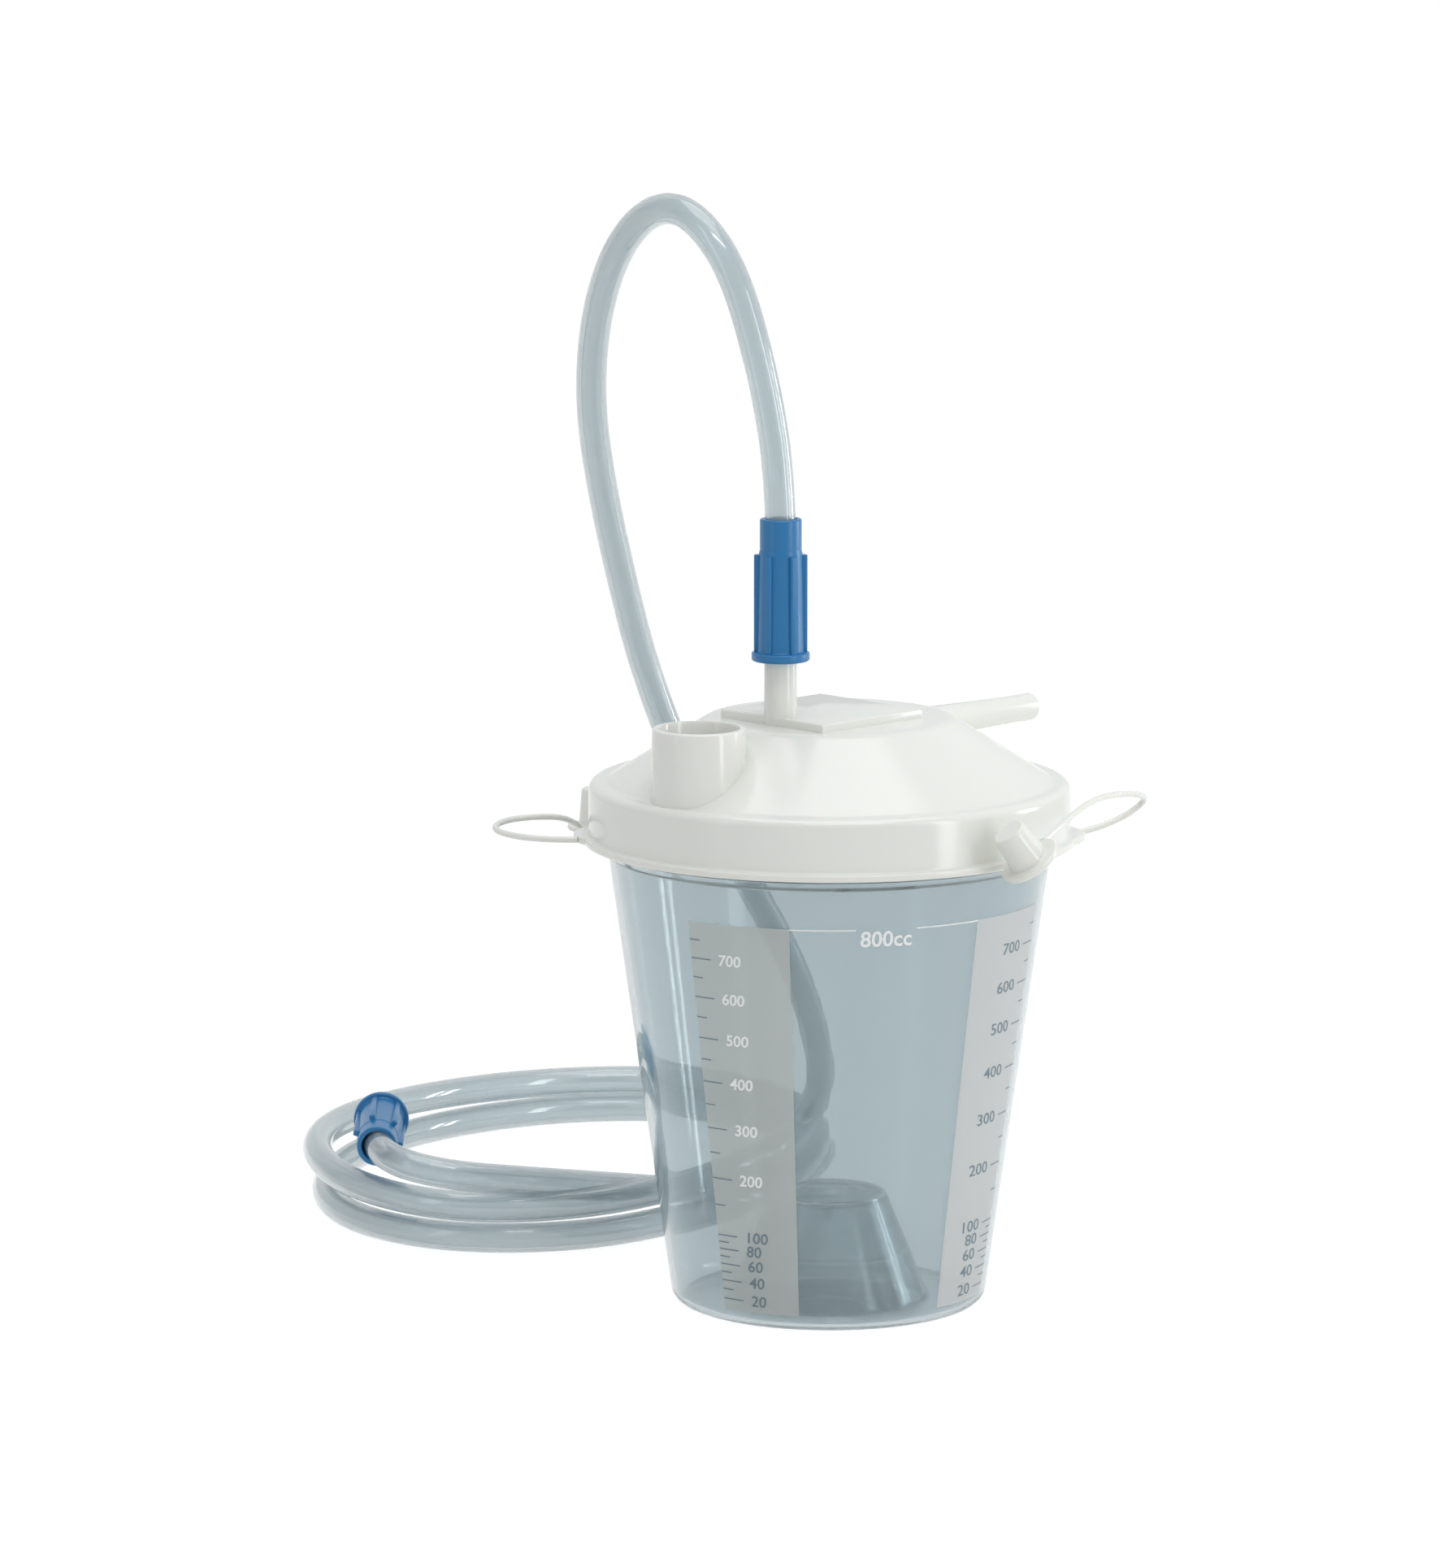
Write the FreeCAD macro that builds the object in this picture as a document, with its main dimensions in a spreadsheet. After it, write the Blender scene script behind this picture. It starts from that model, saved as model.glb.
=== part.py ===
import FreeCAD, Part
import math
import os
import Sketcher
from types import SimpleNamespace

# Suction canister: a clear tapered cup, a white push-fit lid with its shut-off float, and a coiled
# hose with a push-on connector at each end. Millimetres. The origin is on the cup's axis at the
# plane that it stands on, +Z is up, and +X is the side of the lid that the vacuum port leaves by.

SIZES = {
    # Cup: one clear moulding with a pushed-up bottom and a stepped rim that the lid drops over.
    "cup_flare": 0.1416,
    "cup_wall": 1.4,
    "cup_floor": 1.6,
    "cup_corner": 4.2,
    "rim_radius": 62.5,
    "rim_top": 140.8,
    "rim_height": 17.7,
    "shoulder_step": 2.82,
    "shoulder_rise": 2.5,
    "pushup_height": 30.1,
    "pushup_top_radius": 15.4,
    "pushup_foot_radius": 27.0,
    "dish_radius": 9.6,
    "dish_depth": 0.6,
    "gate_radius": 1.3,
    "gate_length": 6.0,
    # Lid: skirt, ring, cone, flat top with a square plate.
    "lid_wall": 2.0,
    "lid_gap": 0.3,
    "skirt_wall": 2.2,
    "skirt_depth": 14.3,
    "flange_width": 1.6,
    "flange_thickness": 2.0,
    "ring_width": 4.7,
    "cone_slope": 0.638,
    "cone_rise": 17.4,
    "plug_wall": 1.8,
    "plug_depth": 7.0,
    "plate_side": 38.6,
    "plate_centre": -3.1,
    "plate_height": 2.3,
    "ear_show": 2.4,
    "ear_radius": 16.0,
    "ear_angle": -45.0,
    # Pour spout.
    "spout_inset": 15.3,
    "spout_radius": 12.4,
    "spout_foot_radius": 12.9,
    "spout_wall": 1.7,
    "spout_rise": 19.9,
    # Patient port, which stands on the plate.
    "patient_centre": -18.8,
    "patient_foot_radius": 4.45,
    "patient_mouth_radius": 4.35,
    "patient_tip_radius": 4.2,
    "patient_bore_radius": 2.9,
    "patient_show": 14.9,
    "patient_engaged": 15.6,
    # Vacuum port, which leaves the cone level, along +X.
    "vacuum_drop": 6.2,
    "vacuum_show": 14.5,
    "vacuum_land": 12.0,
    "vacuum_tip_radius": 3.75,
    "vacuum_root_radius": 4.9,
    "vacuum_bore_radius": 2.3,
    # Shut-off valve under the flat top: nozzle, cage, float and seal.
    "valve_inset": 15.03,
    "nozzle_radius": 4.2,
    "nozzle_length": 13.7,
    "socket_radius": 10.2,
    "socket_wall": 1.5,
    "socket_length": 14.2,
    "cage_fit": 0.05,
    "cage_wall": 1.5,
    "cage_lap": 5.0,
    "cage_length": 33.0,
    "cage_floor": 2.0,
    "cage_drain_radius": 5.0,
    "window_width": 8.0,
    "window_above_floor": 3.0,
    "window_below_socket": 4.0,
    "float_radius": 9.6,
    "float_travel": 5.0,
    "float_edge": 1.6,
    "neck_radius": 2.4,
    "neck_height": 1.2,
    "seal_radius": 5.4,
    "seal_thickness": 1.5,
    "seal_clearance": 0.1,
    # Connector on each end of the hose.
    "connector_length": 38.2,
    "brim_radius": 7.8,
    "brim_thickness": 2.4,
    "barrel_radius": 5.9,
    "sleeve_radius": 5.6,
    "sleeve_length": 9.6,
    "rib_reach": 7.15,
    "rib_width": 1.7,
    "rib_count": 6,
    "port_socket_radius": 4.3,
    "port_socket_depth": 16.0,
    "hose_socket_depth": 11.8,
    "hose_socket_clearance": 0.1,
    "connector_bore_radius": 2.8,
    # Hose and its coil.
    "hose_diameter": 8.4,
    "coil_centre_x": 49.6,
    "coil_centre_y": 153.3,
    "coil_long_radius": 94.6,
    "coil_short_radius": 69.4,
    "coil_turn": 21.4,
    "coil_band": 14.0,
    "coil_height": 17.2,
    "coil_edge": 4.0,
    # Tethered caps.
    "cap_length": 11.5,
    "cap_radius": 5.3,
    "cap_crown_radius": 4.5,
    "cap_wall": 0.9,
    "cap_crown": 1.2,
    "cap_brim_radius": 8.4,
    "cap_brim_thickness": 1.3,
    "tether_diameter": 1.7,
}

# Hose routes, chosen by hand: over and down behind the cup from the connector on the lid to the
# coil, and from the coil to the connector on the free end. The first follows the connector.
RUN_POINTS = [
    (-18.8, 0.0, 203.8), (-18.8, 0.0, 225.0), (-19.8, 5.0, 252.0), (-21.5, 14.5, 280.5),
    (-22.5, 28.0, 294.5), (-20.5, 43.0, 296.5), (-17.5, 58.5, 289.0), (-14.0, 71.5, 275.0),
    (-10.0, 81.0, 256.5), (-5.0, 87.0, 235.5), (2.9, 90.4, 212.2), (12.1, 92.6, 187.5),
    (22.2, 93.8, 160.7), (36.1, 92.6, 130.8), (54.1, 88.0, 100.1), (69.3, 83.4, 74.0),
    (78.1, 82.4, 54.0), (84.5, 84.5, 34.5), (75.0, 87.7, 15.5), (52.0, 83.8, 9.0),
]
TAIL_POINTS = [
    (43.2, 80.8, 12.0), (10.3, 81.0, 15.7), (-19.8, 90.5, 19.7), (-48.4, 104.7, 24.9),
    (-50.9, 126.3, 28.4), (-35.8, 141.6, 28.4),
]
# Loose caps: the centre of the brim, the way the crown points, and the tether from ear to brim,
# all counted from the middle of the cap's ear and from the underside of the lid's flange.
RIGHT_CAP = {"brim": (-39.0, -38.0, 3.3), "crown": (-0.588, 0.173, 0.790)}
RIGHT_TETHER = [
    (14.6, -6.4, 1.0), (23.5, -10.0, 2.5), (31.0, -17.0, 9.5), (18.5, -22.0, 13.3),
    (2.5, -25.0, 14.5), (-14.5, -31.5, 13.5), (-33.4, -37.0, 8.1),
]
LEFT_CAP = {"brim": (19.9, 33.9, -3.7), "crown": (0.0, 0.0, 1.0)}
LEFT_TETHER = [
    (-14.6, 6.4, 1.0), (-23.0, 14.0, 1.0), (-25.0, 29.5, 1.8), (-17.0, 32.5, 3.7),
    (-3.0, 26.5, 3.7), (7.5, 29.5, 0.0), (13.1, 33.1, -3.0),
]

doc = FreeCAD.newDocument("SuctionCanister")
sheet = doc.addObject("Spreadsheet::Sheet", "Sizes")


class Size:
    """A sheet value, or a sum worked out from some, with the expression that says so."""

    def __init__(self, value, text):
        self.value = value
        self.text = text

    def __add__(self, other):
        return joined(self, "+", other)

    def __radd__(self, other):
        return joined(other, "+", self)

    def __sub__(self, other):
        return joined(self, "-", other)

    def __rsub__(self, other):
        return joined(other, "-", self)

    def __mul__(self, other):
        return joined(self, "*", other)

    def __rmul__(self, other):
        return joined(other, "*", self)

    def __truediv__(self, other):
        return joined(self, "/", other)

    def __neg__(self):
        return joined(0.0, "-", self)


def joined(left, sign, right):
    left = left if isinstance(left, Size) else Size(float(left), repr(float(left)))
    right = right if isinstance(right, Size) else Size(float(right), repr(float(right)))
    value = {
        "+": left.value + right.value,
        "-": left.value - right.value,
        "*": left.value * right.value,
        "/": left.value / right.value if right.value else 0.0,
    }[sign]
    return Size(value, f"({left.text} {sign} {right.text})")


def fill_sheet():
    sizes = {}
    for row, (alias, number) in enumerate(SIZES.items(), start=1):
        sheet.set(f"A{row}", alias)
        sheet.set(f"B{row}", str(number))
        sheet.setAlias(f"B{row}", alias)
        sizes[alias] = Size(float(number), f"Sizes.{alias}")
    doc.recompute()
    return SimpleNamespace(**sizes)


size = fill_sheet()


def lid_places():
    """Heights, radii and centres that several pieces share, all counted from the cup's rim."""
    s = size
    lid_radius = s.rim_radius + s.lid_gap + s.skirt_wall
    flange_radius = lid_radius + s.flange_width
    cone_foot = lid_radius - s.ring_width
    cone_top = cone_foot - s.cone_rise / s.cone_slope
    lean = math.radians(s.ear_angle.value)
    ear_centre = flange_radius + s.ear_show - s.ear_radius
    ring_top = s.rim_top + s.lid_wall
    dome_top = ring_top + s.cone_rise
    under_top = dome_top - s.lid_wall
    socket_bottom = under_top - s.socket_length
    cage_top = socket_bottom + s.cage_lap
    return SimpleNamespace(
        shoulder=s.rim_top - s.rim_height,
        ring_top=ring_top,
        flange_bottom=ring_top - s.lid_wall - s.skirt_depth,
        flange_top=ring_top - s.lid_wall - s.skirt_depth + s.flange_thickness,
        dome_top=dome_top,
        under_top=under_top,
        plate_top=dome_top + s.plate_height,
        port_mouth=dome_top + s.plate_height + s.patient_show,
        spout_top=ring_top + s.spout_rise,
        vacuum_axis=dome_top - s.vacuum_drop,
        nozzle_bottom=under_top - s.nozzle_length,
        socket_bottom=socket_bottom,
        cage_top=cage_top,
        cage_bottom=cage_top - s.cage_length,
        lid_radius=lid_radius,
        flange_radius=flange_radius,
        cone_foot=cone_foot,
        cone_top=cone_top,
        spout_centre=s.spout_inset - lid_radius,
        valve_centre=cone_top - s.valve_inset,
        vacuum_end=lid_radius + s.vacuum_show,
        ear_x=ear_centre * math.cos(lean),
        ear_y=ear_centre * math.sin(lean),
    )


def bind(thing, prop, amount):
    """Sets a property from the sheet when the amount comes from it."""
    if isinstance(amount, Size):
        thing.setExpression(prop, amount.text)
    else:
        thing.setExpression(prop, repr(float(amount)))


def new_body(name):
    body = doc.addObject("PartDesign::Body", name)
    body.Label = name
    return body


def plane(body, role):
    return next(item for item in body.Origin.OriginFeatures if item.Role == role)


def sketch_on(body, name, role="XY_Plane", height=None):
    sketch = body.newObject("Sketcher::SketchObject", name)
    sketch.AttachmentSupport = [(plane(body, role), "")]
    sketch.MapMode = "FlatFace"
    if height is not None:
        bind(sketch, "AttachmentOffset.Base.z", height)
    return sketch


def pin_point(sketch, geometry, end, x, y):
    """Fixes a point of the sketch by its distances from the sketch's origin."""
    for kind, axis, amount in (("DistanceX", -2, x), ("DistanceY", -1, y)):
        if isinstance(amount, Size):
            index = sketch.addConstraint(
                Sketcher.Constraint(kind, -1, 1, geometry, end, amount.value))
            sketch.setExpression(f"Constraints[{index}]", amount.text)
        elif amount == 0:
            sketch.addConstraint(Sketcher.Constraint("PointOnObject", geometry, end, axis))
        else:
            sketch.addConstraint(Sketcher.Constraint(kind, -1, 1, geometry, end, float(amount)))


def vector(x, y):
    numbers = [item.value if isinstance(item, Size) else float(item) for item in (x, y)]
    return FreeCAD.Vector(numbers[0], numbers[1], 0)


def corner_arc(before, corner, after, radius):
    """Start, end and middle of the arc that rounds a corner, and whether it turns left."""
    into = (corner - before).normalize()
    out = (after - corner).normalize()
    half_turn = into.getAngle(out) / 2
    reach = radius * math.tan(half_turn)
    inward = (out - into).normalize()
    middle = corner + inward * (radius / math.cos(half_turn) - radius)
    return corner - into * reach, corner + out * reach, middle, into.cross(out).z > 0


def outline(sketch, corners):
    """Closes a ring of straight sides; a corner is (x, y), or (x, y, radius) to round it."""
    count = len(corners)
    spots = [vector(item[0], item[1]) for item in corners]
    arcs = {}
    for index, item in enumerate(corners):
        if len(item) == 3:
            radius = item[2].value if isinstance(item[2], Size) else float(item[2])
            arcs[index] = corner_arc(
                spots[index - 1], spots[index], spots[(index + 1) % count], radius)
    lines = []
    for index in range(count):
        after = (index + 1) % count
        start = arcs[index][1] if index in arcs else spots[index]
        end = arcs[after][0] if after in arcs else spots[after]
        lines.append(sketch.addGeometry(Part.LineSegment(start, end), False))
    for index, item in enumerate(corners):
        before, line = lines[index - 1], lines[index]
        if index not in arcs:
            sketch.addConstraint(Sketcher.Constraint("Coincident", before, 2, line, 1))
            pin_point(sketch, line, 1, item[0], item[1])
            continue
        first, last, middle, left = arcs[index]
        arc = sketch.addGeometry(Part.Arc(first, middle, last), False)
        ends = (1, 2) if left else (2, 1)
        sketch.addConstraint(Sketcher.Constraint("Tangent", before, 2, arc, ends[0]))
        sketch.addConstraint(Sketcher.Constraint("Tangent", arc, ends[1], line, 1))
        spot = sketch.addGeometry(Part.Point(spots[index]), True)
        sketch.addConstraint(Sketcher.Constraint("PointOnObject", spot, 1, before))
        sketch.addConstraint(Sketcher.Constraint("PointOnObject", spot, 1, line))
        pin_point(sketch, spot, 1, item[0], item[1])
        radius = item[2]
        number = radius.value if isinstance(radius, Size) else float(radius)
        index = sketch.addConstraint(Sketcher.Constraint("Radius", arc, number))
        if isinstance(radius, Size):
            sketch.setExpression(f"Constraints[{index}]", radius.text)


def circle(sketch, x, y, radius):
    number = radius.value if isinstance(radius, Size) else float(radius)
    ring = sketch.addGeometry(Part.Circle(vector(x, y), FreeCAD.Vector(0, 0, 1), number), False)
    pin_point(sketch, ring, 3, x, y)
    index = sketch.addConstraint(Sketcher.Constraint("Radius", ring, number))
    if isinstance(radius, Size):
        sketch.setExpression(f"Constraints[{index}]", radius.text)


def turned(body, name, corners, kind="PartDesign::Revolution"):
    """A section in the XZ plane, turned about the body's upright axis."""
    sketch = sketch_on(body, name + "_section", "XZ_Plane")
    outline(sketch, corners)
    doc.recompute()
    feature = body.newObject(kind, name)
    feature.Profile = sketch
    feature.ReferenceAxis = (sketch, ["V_Axis"])
    feature.Angle = 360
    sketch.Visibility = False
    doc.recompute()
    return feature


def pad(body, name, sketch, length):
    feature = body.newObject("PartDesign::Pad", name)
    feature.Profile = sketch
    bind(feature, "Length", length)
    doc.recompute()
    return feature


def primitive(body, kind, name, x, z, sizes, level=False):
    """An upright cone or cylinder at x, z, or a level one that points along +X."""
    feature = body.newObject("PartDesign::" + kind, name)
    feature.AttachmentSupport = [(plane(body, "XY_Plane"), "")]
    feature.MapMode = "FlatFace"
    if level:
        turn = FreeCAD.Rotation(FreeCAD.Vector(0, 1, 0), 90)
        feature.AttachmentOffset = FreeCAD.Placement(FreeCAD.Vector(), turn)
    bind(feature, "AttachmentOffset.Base.x", x)
    bind(feature, "AttachmentOffset.Base.z", z)
    for prop, amount in sizes.items():
        bind(feature, prop, amount)
    doc.recompute()
    return feature


def edges_at(shape, test):
    """Names of the edges whose ends and middle all pass the test."""
    found = []
    for index, edge in enumerate(shape.Edges, start=1):
        span = edge.LastParameter - edge.FirstParameter
        spots = [edge.valueAt(edge.FirstParameter + span * part) for part in (0.0, 0.37, 1.0)]
        if all(test(spot) for spot in spots):
            found.append(f"Edge{index}")
    return found


def rounded(body, name, test, radius, kind="PartDesign::Fillet"):
    base = body.Tip
    names = edges_at(base.Shape, test)
    if not names:
        raise ValueError(f"{name}: no edge found")
    feature = body.newObject(kind, name)
    feature.Base = (base, names)
    bind(feature, "Radius" if kind.endswith("Fillet") else "Size", radius)
    doc.recompute()
    return feature


def make_canister():
    """Cup section, from the middle of the pushed-up bottom, up the inside and down the outside."""
    body = new_body("canister")
    s = size
    shoulder = lid_places().shoulder

    def outside(height):
        return s.rim_radius - s.shoulder_step - s.cup_flare * (shoulder - height)

    def inside(height):
        return outside(height) - s.cup_wall

    inner_rim = s.rim_radius - s.cup_wall
    under = s.pushup_height - s.dish_depth - s.cup_floor
    turned(body, "cup_section", [
        (0, s.pushup_height - s.dish_depth),
        (s.dish_radius, s.pushup_height - s.dish_depth),
        (s.dish_radius + s.dish_depth, s.pushup_height),
        (s.pushup_top_radius, s.pushup_height, s.cup_wall * 0.6),
        (s.pushup_foot_radius, s.cup_floor, s.cup_wall),
        (inside(s.cup_floor), s.cup_floor, s.cup_corner - s.cup_wall),
        (inside(shoulder) + s.cup_flare * s.cup_wall, shoulder + s.cup_wall),
        (inner_rim, shoulder + s.cup_wall + s.shoulder_rise),
        (inner_rim, s.rim_top, s.cup_wall * 0.25),
        (s.rim_radius, s.rim_top, s.cup_wall * 0.25),
        (s.rim_radius, shoulder + s.shoulder_rise, s.cup_wall * 0.4),
        (s.rim_radius - s.shoulder_step, shoulder, s.cup_wall * 0.4),
        (outside(0), 0, s.cup_corner),
        (s.pushup_foot_radius - s.cup_wall * 0.5, 0, s.cup_wall * 0.8),
        (s.pushup_top_radius - s.cup_wall, under, s.cup_wall * 0.8),
        (s.gate_radius, under),
        (s.gate_radius * 0.8, under - s.gate_length),
        (0, under - s.gate_length),
    ])
    return body


def dome_corners():
    """Outer section of the lid, down to the flange."""
    s = size
    at = lid_places()
    return [
        (0, at.flange_bottom),
        (at.flange_radius, at.flange_bottom, s.flange_thickness * 0.3),
        (at.flange_radius, at.flange_top, s.flange_thickness * 0.3),
        (at.lid_radius, at.flange_top, s.flange_thickness * 0.4),
        (at.lid_radius, at.ring_top, s.lid_wall * 1.2),
        (at.cone_foot, at.ring_top, s.lid_wall * 1.5),
        (at.cone_top, at.dome_top, s.lid_wall * 3.0),
        (0, at.dome_top),
    ]


def make_lid():
    """Lid: a solid dome turned and dressed outside, hollowed below, then bored."""
    body = new_body("lid")
    s = size
    at = lid_places()
    turned(body, "dome", dome_corners())

    ears = sketch_on(body, "ear_outline", "XY_Plane", at.flange_bottom)
    for side in (1.0, -1.0):
        circle(ears, at.ear_x * side, at.ear_y * side, s.ear_radius)
    doc.recompute()
    pad(body, "ears", ears, s.flange_thickness)

    plate = sketch_on(body, "plate_outline", "XY_Plane", at.dome_top - s.lid_wall * 0.5)
    side = s.plate_side / 2
    low, high = s.plate_centre - side, s.plate_centre + side
    outline(plate, [(low, -side, 1.0), (high, -side, 1.0), (high, side, 1.0), (low, side, 1.0)])
    doc.recompute()
    pad(body, "plate", plate, s.plate_height + s.lid_wall * 0.5)

    plug_outside = s.rim_radius - s.cup_wall - s.lid_gap
    plug_inside = plug_outside - s.plug_wall
    drop = s.lid_wall * 1.186
    under_foot = at.ring_top + s.cone_slope * (at.cone_foot - plug_inside) - drop
    under_radius = at.cone_top - (drop - s.lid_wall) / s.cone_slope
    turned(body, "hollow", [
        (0, at.flange_bottom - s.lid_wall),
        (s.rim_radius + s.lid_gap, at.flange_bottom - s.lid_wall),
        (s.rim_radius + s.lid_gap, s.rim_top),
        (plug_outside, s.rim_top),
        (plug_outside, s.rim_top - s.plug_depth + s.lid_wall * 0.5),
        (plug_outside - s.lid_wall * 0.4, s.rim_top - s.plug_depth),
        (plug_inside, s.rim_top - s.plug_depth),
        (plug_inside, under_foot),
        (under_radius, at.under_top, s.lid_wall * 2.0),
        (0, at.under_top),
    ], "PartDesign::Groove")

    primitive(body, "SubtractiveCylinder", "spout_opening", at.spout_centre, s.rim_top + 0.2, {
        "Radius": s.spout_radius - s.spout_wall, "Height": s.spout_rise + s.lid_wall})
    primitive(body, "SubtractiveCylinder", "patient_opening", s.patient_centre,
              at.under_top - s.lid_wall,
              {"Radius": s.patient_bore_radius, "Height": s.plate_height + s.lid_wall * 3.0})
    primitive(body, "SubtractiveCone", "vacuum_opening", at.valve_centre, at.vacuum_axis, {
        "Radius1": s.vacuum_root_radius, "Radius2": s.vacuum_tip_radius,
        "Height": at.vacuum_end - s.vacuum_land - at.valve_centre}, level=True)

    top = at.plate_top.value
    hole = s.patient_bore_radius.value
    rounded(body, "plate_edge", lambda spot: abs(spot.z - top) < 0.01
            and math.hypot(spot.x - s.patient_centre.value, spot.y) > hole + 0.05,
            s.plate_height * 0.2)
    return body


def make_pour_spout():
    """Wide spout, moulded on the dome's slope and open through it."""
    body = new_body("pour_spout")
    s = size
    at = lid_places()
    primitive(body, "AdditiveCone", "spout_wall", at.spout_centre, at.flange_top, {
        "Radius1": s.spout_foot_radius, "Radius2": s.spout_radius,
        "Height": at.spout_top - at.flange_top})
    turned(body, "dome_below", dome_corners(), "PartDesign::Groove")
    primitive(body, "SubtractiveCylinder", "spout_bore", at.spout_centre, at.flange_top, {
        "Radius": s.spout_radius - s.spout_wall, "Height": s.spout_rise + at.lid_radius})
    spout_top = at.spout_top.value
    rounded(body, "spout_lip", lambda spot: abs(spot.z - spout_top) < 0.01, s.spout_wall * 0.4)
    return body


def make_patient_port():
    """Port that the hose's connector is pushed over: a foot, and a narrower spigot above it."""
    body = new_body("patient_port")
    s = size
    at = lid_places()
    primitive(body, "AdditiveCone", "port_foot", s.patient_centre, at.plate_top, {
        "Radius1": s.patient_foot_radius, "Radius2": s.patient_mouth_radius,
        "Height": s.patient_show})
    primitive(body, "AdditiveCylinder", "port_spigot", s.patient_centre, at.port_mouth, {
        "Radius": s.patient_tip_radius, "Height": s.patient_engaged})
    primitive(body, "SubtractiveCylinder", "port_bore", s.patient_centre,
              at.plate_top - s.lid_wall,
              {"Radius": s.patient_bore_radius,
               "Height": s.patient_show + s.patient_engaged + s.lid_wall * 2.0})
    spigot_top = (at.port_mouth + s.patient_engaged).value
    spigot = s.patient_tip_radius.value
    rounded(body, "spigot_lip", lambda spot: abs(spot.z - spigot_top) < 0.01
            and math.hypot(spot.x - s.patient_centre.value, spot.y) > spigot - 0.05, 0.5)
    return body


def make_vacuum_port():
    """Level port, with the nozzle that the float shuts and the socket that holds its cage."""
    body = new_body("vacuum_port")
    s = size
    at = lid_places()
    valve_socket = sketch_on(body, "valve_socket_outline", "XY_Plane", at.socket_bottom)
    circle(valve_socket, at.valve_centre, 0, s.socket_radius)
    circle(valve_socket, at.valve_centre, 0, s.socket_radius - s.socket_wall)
    doc.recompute()
    pad(body, "valve_socket", valve_socket, s.socket_length)
    land_start = at.vacuum_end - s.vacuum_land
    primitive(body, "AdditiveCone", "vacuum_root", at.valve_centre, at.vacuum_axis, {
        "Radius1": s.vacuum_root_radius, "Radius2": s.vacuum_tip_radius,
        "Height": land_start - at.valve_centre}, level=True)
    primitive(body, "AdditiveCylinder", "vacuum_land", land_start, at.vacuum_axis, {
        "Radius": s.vacuum_tip_radius, "Height": s.vacuum_land}, level=True)
    primitive(body, "AdditiveCylinder", "nozzle", at.valve_centre, at.nozzle_bottom, {
        "Radius": s.nozzle_radius, "Height": s.nozzle_length})
    primitive(body, "SubtractiveCylinder", "vacuum_bore", at.valve_centre, at.vacuum_axis, {
        "Radius": s.vacuum_bore_radius, "Height": at.vacuum_end}, level=True)
    primitive(body, "SubtractiveCylinder", "nozzle_bore", at.valve_centre,
              at.nozzle_bottom - s.lid_wall,
              {"Radius": s.vacuum_bore_radius,
               "Height": at.vacuum_axis - at.nozzle_bottom + s.lid_wall})
    end = at.vacuum_end.value
    height = at.vacuum_axis.value
    tip = s.vacuum_tip_radius.value
    rounded(body, "vacuum_lip", lambda spot: abs(spot.x - end) < 0.01
            and math.hypot(spot.y, spot.z - height) > tip - 0.05, 0.6)
    return body


def make_float_cage():
    """Cage that hangs on the lid's valve socket, open at four windows and in its floor."""
    body = new_body("float_cage")
    s = size
    at = lid_places()
    inner = s.socket_radius + s.cage_fit
    floor_top = at.cage_bottom + s.cage_floor
    turned(body, "cage_wall", [
        (s.cage_drain_radius, at.cage_bottom),
        (inner + s.cage_wall, at.cage_bottom, 1.0),
        (inner + s.cage_wall, at.cage_top),
        (inner, at.cage_top),
        (inner, floor_top),
        (s.cage_drain_radius, floor_top),
    ])
    window = sketch_on(body, "window_outline", "XZ_Plane")
    half = s.window_width / 2
    low = floor_top + s.window_above_floor
    high = at.socket_bottom - s.window_below_socket
    outline(window, [(-half, low, 1.5), (half, low, 1.5), (half, high, 1.5), (-half, high, 1.5)])
    doc.recompute()
    cut = body.newObject("PartDesign::Pocket", "window")
    cut.Profile = window
    bind(cut, "Length", s.socket_radius * 2.0)
    doc.recompute()
    fan = body.newObject("PartDesign::PolarPattern", "windows")
    fan.Originals = [cut]
    fan.Axis = (window, ["V_Axis"])
    fan.Angle = 360
    fan.Occurrences = 4
    body.Tip = fan
    doc.recompute()
    bind(body, "Placement.Base.x", at.valve_centre)
    return body


def float_heights():
    s = size
    at = lid_places()
    seal_top = at.nozzle_bottom - s.seal_clearance - s.float_travel
    return at.cage_bottom + s.cage_floor, seal_top - s.seal_thickness, seal_top


def make_float():
    """Sealed float with a short neck that the seal disc is pushed on."""
    body = new_body("float")
    s = size
    bottom, top, _ = float_heights()
    turned(body, "float_section", [
        (0, bottom),
        (s.float_radius, bottom, s.float_edge),
        (s.float_radius, top, s.float_edge),
        (s.neck_radius, top),
        (s.neck_radius, top + s.neck_height),
        (0, top + s.neck_height),
    ])
    bind(body, "Placement.Base.x", lid_places().valve_centre)
    return body


def make_float_seal():
    """Soft disc on the float's neck, which shuts the nozzle."""
    body = new_body("float_seal")
    s = size
    _, top, seal_top = float_heights()
    turned(body, "seal_section", [
        (0, top + s.neck_height),
        (s.neck_radius, top + s.neck_height),
        (s.neck_radius, top),
        (s.seal_radius, top, 0.3),
        (s.seal_radius, seal_top, 0.3),
        (0, seal_top),
    ])
    bind(body, "Placement.Base.x", lid_places().valve_centre)
    return body


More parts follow.
